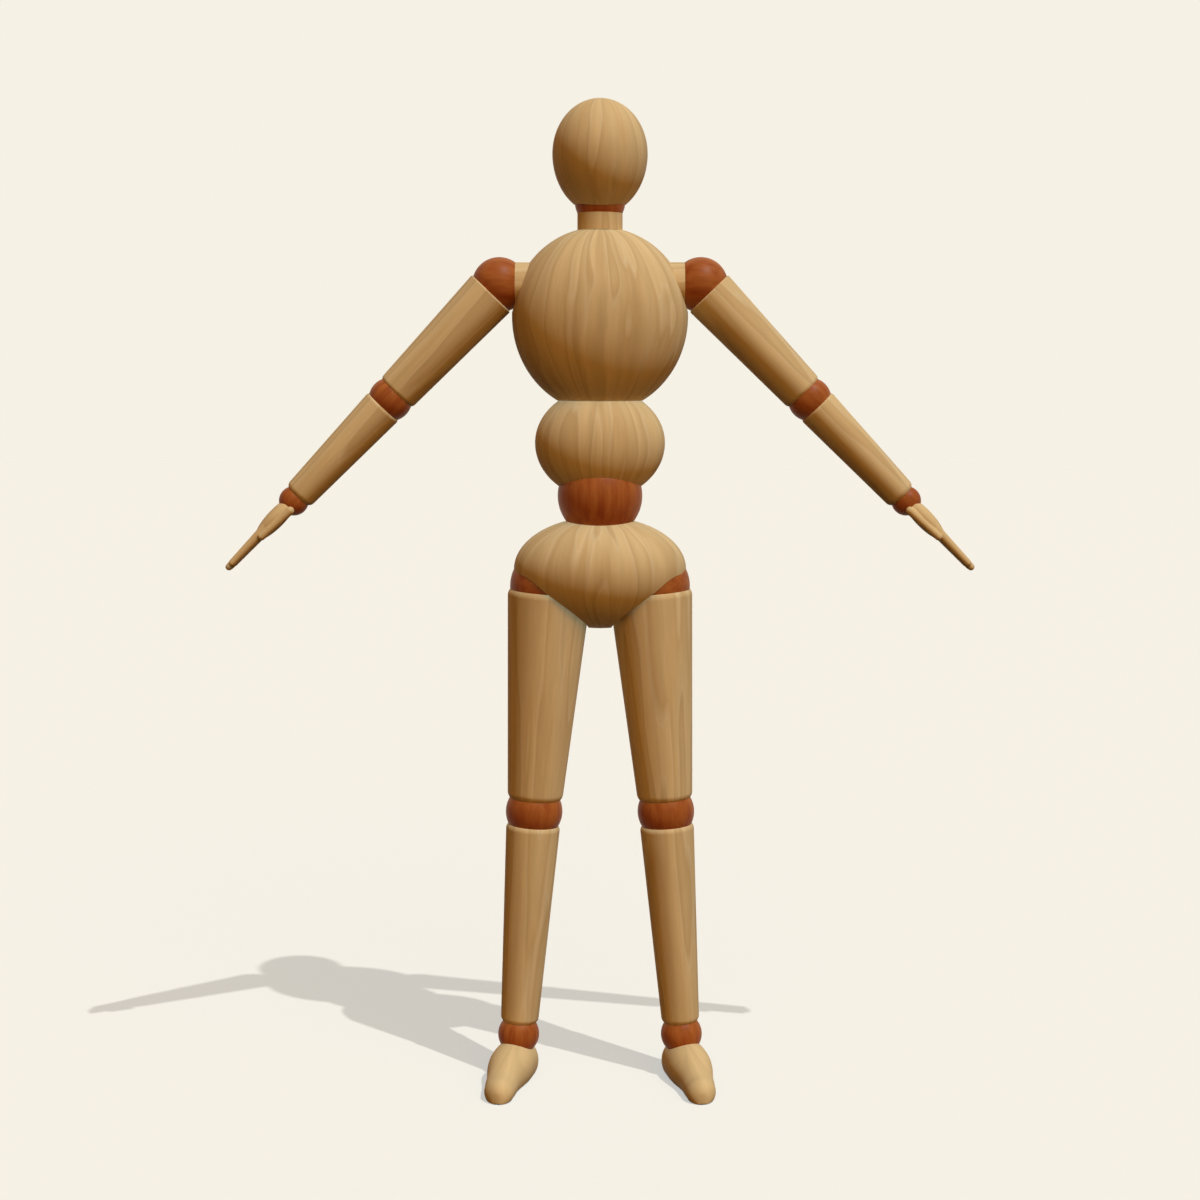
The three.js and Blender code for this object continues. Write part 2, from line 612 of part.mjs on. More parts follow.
function buildTrunk() {
  piece(figure, 'pelvis', buildPelvis(), 'beech');
  const waist = groupAt(figure, 0, 0, waistZ);
  ballWithLink(waist, 'waist', WAIST_BALL, FINE);

  const bellyBlock = egg(BELLY, FINE);
  bellyBlock.translate(0, 0, bellyZ);
  const aboveBelly = rod(2 * BELLY.x, flatZ - GAP / 2, chestZ, FINE);
  const belly = cut(bellyBlock, aboveBelly, cupTool(WAIST_BALL, 0, 0, waistZ, FINE),
    rod(bodyBore, waistZ, chestZ, MIDDLE));
  piece(figure, 'belly', belly, 'beech');

  const chestBlock = egg(CHEST, FINE);
  chestBlock.translate(0, 0, chestZ);
  const belowChest = rod(2 * CHEST.x, waistZ, flatZ + GAP / 2, FINE);
  const seatZ = neckZ - POST_SEAT;
  const postSeat = rod(POST_RADIUS + BORE_GAP, seatZ, neckZ, MIDDLE);
  const armHoles = [];
  for (const side of [1, -1]) {
    const hole = rod(PEG_RADIUS + BORE_GAP, 0, SHOULDER_X, MIDDLE);
    hole.rotateY(side * Math.PI / 2).translate(side * (SHOULDER_X - PEG_SEAT - GAP), 0, shoulderZ);
    armHoles.push(hole);
    const rimReach = Math.hypot(UPPER_ARM_TOP.radius, UPPER_ARM_TOP.end + UPPER_ARM_TOP.round);
    const dish = sphere(rimReach + GAP, MIDDLE).translate(side * SHOULDER_X, 0, shoulderZ);
    armHoles.push(dish);
  }
  const rodBore = rod(wireBore, -SHOULDER_X, SHOULDER_X).rotateY(Math.PI / 2);
  rodBore.translate(0, 0, shoulderZ);
  const chest = cut(chestBlock, belowChest, postSeat, rod(bodyBore, waistZ, neckZ, MIDDLE),
    rodBore, ...armHoles);
  piece(figure, 'chest', chest, 'beech');

  const neck = groupAt(figure, 0, 0, neckZ);
  const postProfile = [
    [bodyBore, -POST_SEAT + GAP],
    [POST_RADIUS, -POST_SEAT + GAP],
    ...limbEnd({ radius: POST_RADIUS, round: 0, end: POST_RIM }, NECK_BALL, bodyBore)
      .map(([r, z]) => [r, -z]),
  ];
  piece(neck, 'neck_post', turned([...postProfile, postProfile[0]], MIDDLE), 'beech');
  ballWithLink(neck, 'neck', NECK_BALL, MIDDLE);
  const headBlock = egg(HEAD, FINE);
  headBlock.translate(0, 0, HEAD_ABOVE_NECK);
  piece(neck, 'head', cut(headBlock, cupTool(NECK_BALL, 0, 0, 0)), 'beech');

  const reach = SHOULDER_X - SHOULDER_BALL - GAP;
  const cross = rod(WIRE, -reach, reach).rotateY(Math.PI / 2).translate(0, 0, shoulderZ);
  piece(figure, 'shoulder_rod', cross, 'steel');
  piece(figure, 'torso_spring',
    spring(waistZ + WAIST_BALL + GAP, shoulderZ - WIRE - GAP, BODY_SPRING), 'steel');
  piece(figure, 'neck_spring',
    spring(shoulderZ + WIRE + GAP, neckZ - NECK_BALL - GAP, BODY_SPRING), 'steel');
  const hipReach = HIP_X - HIP_BALL - GAP;
  const hipRod = rod(WIRE, -hipReach, hipReach).rotateY(Math.PI / 2).translate(0, 0, hipZ);
  const hanger = spring(hipZ, waistZ - WAIST_BALL - GAP, BODY_SPRING);
  piece(figure, 'pelvis_hanger', join(hipRod, hanger), 'steel');
}

buildTrunk();
for (const [side, name] of [[1, 'left'], [-1, 'right']]) {
  buildArm(side, name);
  buildLeg(side, name);
}

// The origin lies on the floor, halfway between the tips of the toes and the back of the chest.
figure.updateMatrixWorld(true);
const extent = new THREE.Box3().setFromObject(figure, true);
figure.position.y = -(extent.min.y + extent.max.y) / 2;

export default figure;
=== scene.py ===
# A jointed wooden figure for drawing practice, 300 mm tall, standing on its own feet.

import json
import math

import bmesh
import bpy
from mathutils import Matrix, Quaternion, Vector


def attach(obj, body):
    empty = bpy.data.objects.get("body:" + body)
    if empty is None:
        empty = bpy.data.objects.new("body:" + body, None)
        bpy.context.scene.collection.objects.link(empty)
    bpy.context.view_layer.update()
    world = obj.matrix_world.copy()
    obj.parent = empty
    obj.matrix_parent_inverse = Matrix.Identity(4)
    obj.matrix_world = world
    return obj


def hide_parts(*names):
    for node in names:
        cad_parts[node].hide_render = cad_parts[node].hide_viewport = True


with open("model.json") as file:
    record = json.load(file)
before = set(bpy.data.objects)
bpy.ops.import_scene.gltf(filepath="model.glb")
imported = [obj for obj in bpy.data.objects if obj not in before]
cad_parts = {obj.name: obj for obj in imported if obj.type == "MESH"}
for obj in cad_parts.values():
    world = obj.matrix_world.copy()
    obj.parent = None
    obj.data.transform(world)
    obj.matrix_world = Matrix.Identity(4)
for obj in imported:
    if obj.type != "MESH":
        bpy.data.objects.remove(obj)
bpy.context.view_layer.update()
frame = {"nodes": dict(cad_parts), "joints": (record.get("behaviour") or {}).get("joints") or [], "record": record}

# Viewpoint
# The figure is seen from the front and slightly from above, through a long lens,
# so that it stands upright in the picture with its feet near the lower edge.

MM = 0.001
SENSOR_WIDTH = 36
FOCAL_LENGTH = 62.56
CAMERA_DISTANCE = 638.4 * MM
AIM_HEIGHT = 149.2 * MM
LOOKS_DOWN = math.radians(5.66)

joint_at = {joint["name"]: Vector(joint["pos_m"]) for joint in frame["joints"]}
figure_plane = joint_at["waist_bend"].y

lens = bpy.data.cameras.new("camera")
lens.sensor_width = SENSOR_WIDTH
lens.lens = FOCAL_LENGTH
camera = bpy.data.objects.new("camera", lens)
bpy.context.scene.collection.objects.link(camera)
looks_at = Vector((0, figure_plane, AIM_HEIGHT))
backwards = Vector((0, -math.cos(LOOKS_DOWN), math.sin(LOOKS_DOWN)))
camera.location = looks_at + CAMERA_DISTANCE * backwards
camera.rotation_euler = backwards.to_track_quat("Z", "Y").to_euler()
bpy.context.scene.camera = camera
bpy.context.scene.view_settings.view_transform = "Standard"


# Table top and light
# A plain cream table top runs on into a cream backdrop. A high lamp on the front right throws a
# crisp shadow across the table, and warm light from the front, with a little from behind, reaches
# round the shaded sides.

CREAM = 0xF6F1E5
SKY = (0.225, 0.113, 0.033)
FRONT_LIGHT = (2.3, 1.28, 0.34)
FRONT = Vector((0.35, -0.95, 0.6)).normalized()
FRONT_NARROWNESS = 8.0
BACK_LIGHT = (0.35, 0.2, 0.09)
BACK = Vector((-0.2, 0.95, 0.3)).normalized()
BACK_NARROWNESS = 2.0
LAMP = Vector((0.3914, -0.4253, 1))
TABLE_SIZE = 12
TABLE_RETURN = (0.01, 0.005, 0.002)
TABLE_COLOUR = (0.3375, 0.3312, 0.2967)
TABLE_GLOW = (0.3327, 0.3085, 0.3035)


def linear(hex_value):
    """The linear colour of an sRGB hex value."""
    channels = [(hex_value >> shift & 255) / 255 for shift in (16, 8, 0)]
    return [c / 12.92 if c <= 0.04045 else ((c + 0.055) / 1.055) ** 2.4 for c in channels]


def add_node(tree, kind, settings=(), inputs=()):
    """Adds a node, sets its properties, and feeds its inputs with values or nodes' outputs."""
    made = tree.nodes.new(kind)
    for key, value in dict(settings).items():
        setattr(made, key, value)
    for key, value in dict(inputs).items():
        if isinstance(value, bpy.types.NodeSocket):
            tree.links.new(value, made.inputs[key])
        else:
            made.inputs[key].default_value = value
    return made


def seen_directly(tree):
    """1 for the camera and for what glossy or clear surfaces show of their surroundings."""
    path = add_node(tree, "ShaderNodeLightPath")
    glossy = add_node(tree, "ShaderNodeMath", {"operation": "MAXIMUM"}, {
        0: path.outputs["Is Camera Ray"], 1: path.outputs["Is Glossy Ray"]})
    clear = add_node(tree, "ShaderNodeMath", {"operation": "MAXIMUM"}, {
        0: glossy.outputs[0], 1: path.outputs["Is Transmission Ray"]})
    return clear.outputs[0]


def put_sun(name, strength, tint, spread, shadows):
    """A distant lamp, high on the front right. Its spread in degrees softens its shadows."""
    data = bpy.data.lights.new(name, "SUN")
    data.energy = strength
    data.color = tint
    data.angle = math.radians(spread)
    data.use_shadow = shadows
    lamp = bpy.data.objects.new(name, data)
    bpy.context.scene.collection.objects.link(lamp)
    lamp.rotation_euler = LAMP.to_track_quat("Z", "Y").to_euler()
    return lamp


# The key lights figure and table and throws no shadow. The table lamp lights the table alone, and
# the figure's shadow comes from it.
put_sun("key", strength=2.58, tint=(0.55, 0.85, 1.0), spread=3, shadows=False)
table_lamp = put_sun("table_lamp", strength=3.0, tint=(1.0, 1.0, 1.0), spread=0.6, shadows=True)

# The camera, and all that shines, see plain cream. The figure is lit by an even glow and by two
# soft patches of light, in front and behind.
world = bpy.data.worlds.new("backdrop")
bpy.context.scene.world = world
world.use_nodes = True
sky = world.node_tree
way = add_node(sky, "ShaderNodeTexCoord").outputs["Generated"]
lit = add_node(sky, "ShaderNodeCombineXYZ", inputs=dict(enumerate(SKY)))
for towards, light, narrowness in ((FRONT, FRONT_LIGHT, FRONT_NARROWNESS),
                                   (BACK, BACK_LIGHT, BACK_NARROWNESS)):
    facing = add_node(sky, "ShaderNodeVectorMath", {"operation": "DOT_PRODUCT"}, {
        0: way, 1: towards})
    ahead = add_node(sky, "ShaderNodeMath", {"operation": "MAXIMUM"}, {
        0: facing.outputs["Value"], 1: 0.0})
    share = add_node(sky, "ShaderNodeMath", {"operation": "POWER"}, {
        0: ahead.outputs[0], 1: narrowness})
    falling_off = add_node(sky, "ShaderNodeVectorMath", {"operation": "SCALE"}, {
        0: light, "Scale": share.outputs[0]})
    lit = add_node(sky, "ShaderNodeVectorMath", {"operation": "ADD"}, {
        0: lit.outputs[0], 1: falling_off.outputs[0]})
shown = add_node(sky, "ShaderNodeMix", {"data_type": "RGBA"}, {
    "Factor": seen_directly(sky), 6: lit.outputs[0], 7: (*linear(CREAM), 1)})
sky.links.new(shown.outputs[2], sky.nodes["Background"].inputs["Color"])

bpy.ops.object.select_all(action="DESELECT")
bpy.ops.mesh.primitive_plane_add(size=TABLE_SIZE)
table_top = bpy.context.object
table_top.name = "table_top"

# Matt cream paint, even and without a sheen. A faint glow keeps its shadows pale, and little of
# its light comes back to the figure.
paint = bpy.data.materials.new("painted_table_top")
paint.use_nodes = True
tree = paint.node_tree
tree.nodes.remove(tree.nodes["Principled BSDF"])
matt = add_node(tree, "ShaderNodeBsdfDiffuse", inputs={"Color": (*TABLE_COLOUR, 1)})
glow = add_node(tree, "ShaderNodeEmission", inputs={"Color": (*TABLE_GLOW, 1)})
both = add_node(tree, "ShaderNodeAddShader", inputs={0: matt.outputs[0], 1: glow.outputs[0]})
returned = add_node(tree, "ShaderNodeEmission", inputs={"Color": (*TABLE_RETURN, 1)})
surface = add_node(tree, "ShaderNodeMixShader", inputs={
    0: seen_directly(tree), 1: returned.outputs[0], 2: both.outputs[0]})
tree.links.new(surface.outputs[0], tree.nodes["Material Output"].inputs["Surface"])
table_top.data.materials.append(paint)

only_table = bpy.data.collections.new("lit_by_table_lamp")
only_table.objects.link(table_top)
table_lamp.light_linking.receiver_collection = only_table


# Pelvis
# A block of pale beech turned to a flattened egg, with a cup on top for the waist ball and a
# hollow at each side in which the head of the thigh swings. Sanded, then given a thin satin oil.

# The play of a ball in its cup, the bores for spring and wire, and the radius of two balls.
SNUG = 0.06 * MM
SPRING_BORE = 3.35 * MM
WIRE_BORE = 1.0 * MM
WAIST_BALL = 12.9 * MM
HIP_BALL = 12.15 * MM

# The thigh's head, the room left round it, and the leans in degrees that the hollow is cut for.
THIGH_TOP_RADIUS = 12.65 * MM
THIGH_TOP_DROP = 0.3 * MM
THIGH_ROUNDING = 3.2 * MM
THIGH_ROOM = 0.15 * MM
THIGH_FOOT_RADIUS = 8.6 * MM
HIP_SWINGS = (-20, -10, 0, 10, 20)
HIP_SPREADS = (-2, 6.5, 15)

PELVIS = {"half_width": 26.3 * MM, "half_depth": 19.5 * MM, "up": 16 * MM, "down": 18.1 * MM}
PELVIS_RISE = 5.2 * MM
ROUND_STEPS = 96
RING_STEPS = 64
MERGE_WITHIN = 0.001 * MM
UP = Vector((0, 0, 1))

waist = joint_at["waist_bend"]
hips = {"left": joint_at["left_leg_swing"], "right": joint_at["right_leg_swing"]}
knees = {"left": joint_at["left_knee_bend"], "right": joint_at["right_knee_bend"]}
pelvis_middle = Vector((0, figure_plane, hips["left"].z + PELVIS_RISE))
bodies = frame["record"]["behaviour"]["bodies"]
body_of = {node: body for body, nodes in bodies.items() for node in nodes}


def select_only(piece=None):
    """Leaves edit mode and selects one piece, or none."""
    if bpy.context.object and bpy.context.object.mode == "EDIT":
        bpy.ops.object.mode_set(mode="OBJECT")
    bpy.ops.object.select_all(action="DESELECT")
    if piece:
        bpy.context.view_layer.objects.active = piece
        piece.select_set(True)


def take_new(name):
    """Names the piece just added and puts its place into its mesh."""
    bpy.ops.object.transform_apply(location=True, rotation=True, scale=True)
    piece = bpy.context.object
    piece.name = piece.data.name = name
    return piece


def pick(test):
    """In edit mode, selects the vertices whose place passes the test."""
    shape = bmesh.from_edit_mesh(bpy.context.object.data)
    for vertex in shape.verts:
        vertex.select = test(vertex.co)
    shape.select_flush_mode()
    bmesh.update_edit_mesh(bpy.context.object.data)


def ball_block(name, middle, radius):
    """A plain ball, to be shaped or bored further."""
    select_only()
    bpy.ops.mesh.primitive_uv_sphere_add(segments=ROUND_STEPS, ring_count=RING_STEPS,
                                         radius=radius, location=middle)
    return take_new(name)


def egg(name, middle, half_width, half_depth, up, down):
    """A ball drawn in from front to back, and stretched by different amounts up and down."""
    piece = ball_block(name, middle, half_width)
    bpy.ops.object.mode_set(mode="EDIT")
    bpy.ops.transform.resize(value=(1, half_depth / half_width, 1), center_override=middle)
    equator = 0.01 * MM
    pick(lambda place: place.z > middle.z + equator)
    bpy.ops.transform.resize(value=(1, 1, up / half_width), center_override=middle)
    pick(lambda place: place.z < middle.z - equator)
    bpy.ops.transform.resize(value=(1, 1, down / half_width), center_override=middle)
    select_only(piece)
    return piece


def round_cutter(middle, radius):
    return ball_block("cutter", middle, radius)


def drill(start, end, radius):
    """A straight drill from one point to another."""
    select_only()
    way = end - start
    bpy.ops.mesh.primitive_cylinder_add(vertices=64, radius=radius, depth=way.length,
                                        location=(start + end) / 2,
                                        rotation=way.to_track_quat("Z", "Y").to_euler())
    return take_new("cutter")


def combine(piece, tool, operation):
    """Cuts the tool out of the piece or joins it on, and removes the tool."""
    select_only(piece)
    step = piece.modifiers.new("step", "BOOLEAN")
    step.operation = operation
    step.solver = "MANIFOLD"
    step.object = tool
    bpy.ops.object.modifier_apply(modifier=step.name)
    bpy.data.objects.remove(tool)


def cut(piece, *tools):
    for tool in tools:
        combine(piece, tool, "DIFFERENCE")


def arc(middle_r, middle_h, radius, start, end, steps):
    """Points of a round stretch of an outline, with angles in degrees from straight outwards."""
    angles = [math.radians(start + (end - start) * i / steps) for i in range(steps + 1)]
    return [(middle_r + radius * math.cos(a), middle_h + radius * math.sin(a)) for a in angles]


def turn(name, outline, middle, axis):
    """Turns an outline of (radius, height) points round an axis through the middle. An outline
    that doesn't start on the axis is closed."""
    outwards = axis.orthogonal().normalized()
    points = [middle + axis * height + outwards * radius for radius, height in outline]
    if outline[0][0] > MERGE_WITHIN:
        points.append(points[0])
    select_only()
    bpy.ops.mesh.primitive_plane_add(size=MM, location=points[0])
    piece = take_new(name)
    bpy.ops.object.mode_set(mode="EDIT")
    bpy.ops.mesh.select_all(action="SELECT")
    bpy.ops.mesh.merge(type="CENTER")
    for here, there in zip(points, points[1:]):
        bpy.ops.mesh.extrude_region_move(TRANSFORM_OT_translate={"value": there - here})
    bpy.ops.mesh.select_all(action="SELECT")
    bpy.ops.mesh.remove_doubles(threshold=MERGE_WITHIN)
    bpy.ops.mesh.spin(steps=ROUND_STEPS, angle=2 * math.pi, center=middle, axis=axis)
    bpy.ops.mesh.select_all(action="SELECT")
    bpy.ops.mesh.remove_doubles(threshold=MERGE_WITHIN)
    bpy.ops.mesh.normals_make_consistent(inside=False)
    select_only(piece)
    return piece


def thigh_swing(hip, knee):
    """The room for the hip ball, and for the head of the thigh at one lean after another, from
    limit to limit."""
    room = round_cutter(hip, HIP_BALL + SNUG)
    straight = (knee - hip).normalized()
    depth = (knee - hip).length / 2
    below_rounding = THIGH_TOP_DROP + THIGH_ROUNDING
    narrowing = (THIGH_TOP_RADIUS - THIGH_FOOT_RADIUS) / (knee - hip).length
    low_radius = THIGH_TOP_RADIUS + THIGH_ROOM - narrowing * (depth - below_rounding)
    outline = [(0, -depth), (low_radius, -depth)]
    outline += arc(THIGH_TOP_RADIUS - THIGH_ROUNDING, -below_rounding,
                   THIGH_ROUNDING + THIGH_ROOM, 0, 90, 8)
    outline.append((0, THIGH_ROOM - THIGH_TOP_DROP))
    outwards = math.copysign(1, hip.x)
    for swing in HIP_SWINGS:
        for spread in HIP_SPREADS:
            lean = Vector(straight)
            lean.rotate(Quaternion((0, 1, 0), -outwards * math.radians(spread)))
            lean.rotate(Quaternion((1, 0, 0), math.radians(swing)))
            combine(room, turn("cutter", outline, hip, -lean), "UNION")
    return room


def turned_beech(name, middle, axis, girth, wander, figure=1.0):
    """Oiled beech, sanded smooth. Its grain runs from end to end of the block, as warm brown lines
    that draw together where the block narrows. The fibres are drawn coarser than real ones, so
    that they just show. girth is the radius that the grain is laid round, wander how far it
    strays, and figure how strongly it shows."""
    made = bpy.data.materials.new(name)
    made.use_nodes = True
    tree = made.node_tree
    shader = tree.nodes["Principled BSDF"]
    shader.inputs["Specular IOR Level"].default_value = 0.03
    on_object = add_node(tree, "ShaderNodeTexCoord").outputs["Object"]
    turned_to = Vector(axis).to_track_quat("Z", "Y").to_euler()
    on_block = add_node(tree, "ShaderNodeMapping", {"vector_type": "TEXTURE"}, {
        "Vector": on_object, "Location": middle, "Rotation": turned_to}).outputs[0]
    place = add_node(tree, "ShaderNodeSeparateXYZ", inputs={0: on_block})
    outward = add_node(tree, "ShaderNodeCombineXYZ", inputs={0: place.outputs[0],
                                                             1: place.outputs[1]})
    round_axis = add_node(tree, "ShaderNodeVectorMath", {"operation": "NORMALIZE"},
                          {0: outward.outputs[0]})
    on_girth = add_node(tree, "ShaderNodeVectorMath", {"operation": "SCALE"},
                        {0: round_axis.outputs[0], "Scale": girth})
    lengthwise = add_node(tree, "ShaderNodeMath", {"operation": "MULTIPLY"},
                          {0: place.outputs[2], 1: 0.09})
    rise = add_node(tree, "ShaderNodeCombineXYZ", inputs={2: lengthwise.outputs[0]})
    fibre_place = add_node(tree, "ShaderNodeVectorMath", {"operation": "ADD"},
                           {0: on_girth.outputs[0], 1: rise.outputs[0]})
    drift = add_node(tree, "ShaderNodeTexNoise", {"noise_dimensions": "3D"}, {
        "Vector": on_block, "Scale": 1 / (26 * MM), "Detail": 1.0})
    centred = add_node(tree, "ShaderNodeVectorMath", {"operation": "SUBTRACT"},
                       {0: drift.outputs["Color"], 1: (0.5, 0.5, 0.5)})
    swerve = add_node(tree, "ShaderNodeVectorMath", {"operation": "SCALE"},
                      {0: centred.outputs[0], "Scale": wander})
    grain_place = add_node(tree, "ShaderNodeVectorMath", {"operation": "ADD"},
                           {0: fibre_place.outputs[0], 1: swerve.outputs[0]})
    growth = add_node(tree, "ShaderNodeTexNoise", {"noise_dimensions": "3D"}, {
        "Vector": grain_place.outputs[0], "Scale": 1 / (11 * MM), "Detail": 1.5,
        "Roughness": 0.45})
    rings = add_node(tree, "ShaderNodeMath", {"operation": "MULTIPLY"},
                     {0: growth.outputs["Fac"], 1: 7.0})
    ring = add_node(tree, "ShaderNodeMath", {"operation": "FRACT"}, {0: rings.outputs[0]})
    line = add_node(tree, "ShaderNodeValToRGB", inputs={"Fac": ring.outputs[0]})
    early, late = line.color_ramp.elements
    early.color = (*linear(0xD8B98C), 1)
    late.position = 0.8
    late.color = (*linear(0xCBA97B), 1)
    middle_tone = line.color_ramp.elements.new(0.5)
    middle_tone.color = (*linear(0xD3B385), 1)
    next_ring = line.color_ramp.elements.new(1.0)
    next_ring.color = (*linear(0xDABF97), 1)
    fibres = add_node(tree, "ShaderNodeTexNoise", {"noise_dimensions": "3D"}, {
        "Vector": fibre_place.outputs[0], "Scale": 1 / (1.1 * MM), "Detail": 3.0,
        "Roughness": 0.6})
    bands = add_node(tree, "ShaderNodeTexNoise", {"noise_dimensions": "3D"}, {
        "Vector": grain_place.outputs[0], "Scale": 1 / (5 * MM), "Detail": 1.0})
    fibre_tone = add_node(tree, "ShaderNodeMapRange", inputs={
        "Value": fibres.outputs["Fac"], "From Min": 0.3, "From Max": 0.7,
        "To Min": 0.95, "To Max": 1.04})
    band_tone = add_node(tree, "ShaderNodeMapRange", inputs={
        "Value": bands.outputs["Fac"], "From Min": 0.3, "From Max": 0.7,
        "To Min": 0.92, "To Max": 1.06})
    tone = add_node(tree, "ShaderNodeMath", {"operation": "MULTIPLY"},
                    {0: fibre_tone.outputs[0], 1: band_tone.outputs[0]})
    plain = add_node(tree, "ShaderNodeMix", {"data_type": "RGBA"}, {
        "Factor": figure, 6: (*linear(0xD5B586), 1), 7: line.outputs["Color"]})
    shade = add_node(tree, "ShaderNodeVectorMath", {"operation": "SCALE"},
                     {0: plain.outputs[2], "Scale": tone.outputs[0]})
    tree.links.new(shade.outputs[0], shader.inputs["Base Color"])
    satin = add_node(tree, "ShaderNodeMapRange", inputs={
        "Value": fibres.outputs["Fac"], "To Min": 0.5, "To Max": 0.64})
    tree.links.new(satin.outputs[0], shader.inputs["Roughness"])
    relief = add_node(tree, "ShaderNodeBump", inputs={
        "Height": fibres.outputs["Fac"], "Strength": 0.25, "Distance": 0.05 * MM})
    tree.links.new(relief.outputs[0], shader.inputs["Normal"])
    return made


def finish(piece, node, material):
    """Smooths the piece, paints it, and lets it stand for its CAD node on that node's body."""
    select_only(piece)
    bpy.ops.object.shade_smooth_by_angle(angle=math.radians(35))
    piece.data.materials.clear()
    piece.data.materials.append(material)
    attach(piece, body_of[node])
    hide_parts(node)


pelvis = egg("turned_pelvis", pelvis_middle, **PELVIS)
cut(pelvis,
    round_cutter(waist, WAIST_BALL + SNUG),
    drill(Vector((0, figure_plane, hips["left"].z)), waist, SPRING_BORE),
    drill(hips["right"], hips["left"], WIRE_BORE),
    thigh_swing(hips["left"], knees["left"]),
    thigh_swing(hips["right"], knees["right"]))
finish(pelvis, "pelvis",
       turned_beech("oiled_beech_pelvis", pelvis_middle, UP, girth=22 * MM, wander=5 * MM))


# Waist ball
# A beech bead stained red brown, drilled through for the wire. It shows as a band between the
# pelvis and the belly. The stain is thick enough to hide most of the grain, and has a soft gloss.

def bead(name, middle, axis, radius):
    """A ball with a straight bore."""
    bore_at = math.degrees(math.acos(WIRE_BORE / radius))
    return turn(name, arc(0, 0, radius, -bore_at, bore_at, RING_STEPS), middle, axis)


def stained_beech(name, middle, axis):
    """Beech under red-brown stain and a rubbed varnish: even colour, faint darker streaks along
    the bore, and a broad soft highlight."""
    made = bpy.data.materials.new(name)
    made.use_nodes = True
    tree = made.node_tree
    shader = tree.nodes["Principled BSDF"]
    shader.inputs["Specular IOR Level"].default_value = 0.12
    on_object = add_node(tree, "ShaderNodeTexCoord").outputs["Object"]
    turned_to = Vector(axis).to_track_quat("Z", "Y").to_euler()
    on_ball = add_node(tree, "ShaderNodeMapping", {"vector_type": "TEXTURE"}, {
        "Vector": on_object, "Location": middle, "Rotation": turned_to,
        "Scale": (1, 1, 8)}).outputs[0]
    streaks = add_node(tree, "ShaderNodeTexNoise", {"noise_dimensions": "3D"}, {
        "Vector": on_ball, "Scale": 1 / (2.2 * MM), "Detail": 3.0, "Roughness": 0.55})
    stain = add_node(tree, "ShaderNodeValToRGB", inputs={"Fac": streaks.outputs["Fac"]})
    dark, light = stain.color_ramp.elements
    dark.position = 0.3
    dark.color = (*linear(0x904319), 1)
    light.position = 0.65
    light.color = (*linear(0xA95F2B), 1)
    tree.links.new(stain.outputs["Color"], shader.inputs["Base Color"])
    rubbed = add_node(tree, "ShaderNodeMapRange", inputs={
        "Value": streaks.outputs["Fac"], "To Min": 0.4, "To Max": 0.5})
    tree.links.new(rubbed.outputs[0], shader.inputs["Roughness"])
    relief = add_node(tree, "ShaderNodeBump", inputs={
        "Height": streaks.outputs["Fac"], "Strength": 0.12, "Distance": 0.04 * MM})
    tree.links.new(relief.outputs[0], shader.inputs["Normal"])
    return made


finish(bead("turned_waist_ball", waist, UP, WAIST_BALL), "waist_ball",
       stained_beech("stained_beech_waist_ball", waist, UP))


# Belly and chest
# Two turned eggs of pale beech, sawn flat where the chest turns on the belly. The chest has a
# seat for the neck post on top, and at each side a hole for the shoulder peg, with a shallow dish
# round it that clears the top of the arm.

BELLY = {"half_width": 19.75 * MM, "half_depth": 14.3 * MM, "up": 16.6 * MM, "down": 16.95 * MM}
BELLY_RISE = 16 * MM
CHEST = {"half_width": 26.6 * MM, "half_depth": 20.2 * MM, "up": 26.8 * MM, "down": 28.8 * MM}
CHEST_RISE = 25.3 * MM
POST_RADIUS = 6.8 * MM
PEG_RADIUS = 6.7 * MM
PEG_LENGTH = 14 * MM
ARM_DISH = 9.15 * MM

flat_height = joint_at["chest_turn"].z
belly_middle = Vector((0, figure_plane, waist.z + BELLY_RISE))
chest_middle = Vector((0, figure_plane, flat_height + CHEST_RISE))
neck_seat = joint_at["head_turn"]
neck = joint_at["head_nod"]
shoulders = {"left": joint_at["left_arm_swing"], "right": joint_at["right_arm_swing"]}


def saw_flat(piece, height, keep_above):
    """Saws the piece level at a height and closes the cut."""
    select_only(piece)
    bpy.ops.object.mode_set(mode="EDIT")
    bpy.ops.mesh.select_all(action="SELECT")
    bpy.ops.mesh.bisect(plane_co=(0, figure_plane, height), plane_no=(0, 0, 1), use_fill=True,
                        clear_inner=keep_above, clear_outer=not keep_above)
    select_only(piece)


belly = egg("turned_belly", belly_middle, **BELLY)
saw_flat(belly, flat_height - SNUG / 2, keep_above=False)
cut(belly, round_cutter(waist, WAIST_BALL + SNUG), drill(waist, chest_middle, SPRING_BORE))
finish(belly, "belly",
       turned_beech("oiled_beech_belly", belly_middle, UP, girth=18 * MM, wander=4 * MM))

chest = egg("turned_chest", chest_middle, **CHEST)
saw_flat(chest, flat_height + SNUG / 2, keep_above=True)
cut(chest, drill(waist, neck, SPRING_BORE), drill(neck_seat, neck, POST_RADIUS + SNUG),
    drill(shoulders["right"], shoulders["left"], WIRE_BORE))
for shoulder in shoulders.values():
    inner_end = Vector((shoulder.x - math.copysign(PEG_LENGTH, shoulder.x), *shoulder.yz))
    cut(chest, drill(inner_end, shoulder, PEG_RADIUS + SNUG), round_cutter(shoulder, ARM_DISH))
finish(chest, "chest",
       turned_beech("oiled_beech_chest", chest_middle, UP, girth=26 * MM, wander=6 * MM))


# Neck and head
# A short turned post set into the chest, a stained ball in its cup, and the plain egg of the
# head cupped over the ball. The head has no features.

